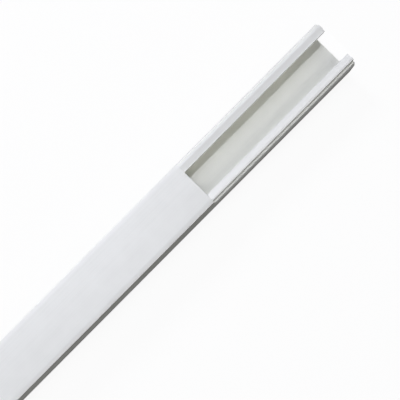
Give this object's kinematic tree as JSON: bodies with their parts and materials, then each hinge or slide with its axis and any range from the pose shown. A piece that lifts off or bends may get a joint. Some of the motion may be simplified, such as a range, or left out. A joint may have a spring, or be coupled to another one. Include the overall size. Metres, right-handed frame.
{
  "type": "cord cover raceway",
  "caption": "Adhesive-backed wall channel for cords, with in-turned lips and a clip-on cover that slides along its rails.",
  "frame": {"origin": "middle of the channel's length and width, on the face that meets the wall", "axes": "+X along the raceway towards the end where the channel is uncovered, +Z away from the wall, +Y across"},
  "size_m": [0.4695, 0.02, 0.0113],
  "materials": {
    "pvc_channel": "satin extruded white PVC",
    "pvc_cover": "satin extruded white PVC",
    "foam_tape": "tacky off-white closed-cell foam",
    "liner_paper": "smooth yellow silicone-coated paper"
  },
  "bodies": {
    "channel": {"base_channel": "pvc_channel", "adhesive_tape": "foam_tape", "release_liner": "liner_paper"},
    "cover": {"snap_cover": "pvc_cover"}
  },
  "joints": [
    {"name": "cover_slide", "type": "slide", "parent": "channel", "child": "cover", "axis": [1, 0, 0], "range_m": [-0.13, 0.0695]}
  ]
}
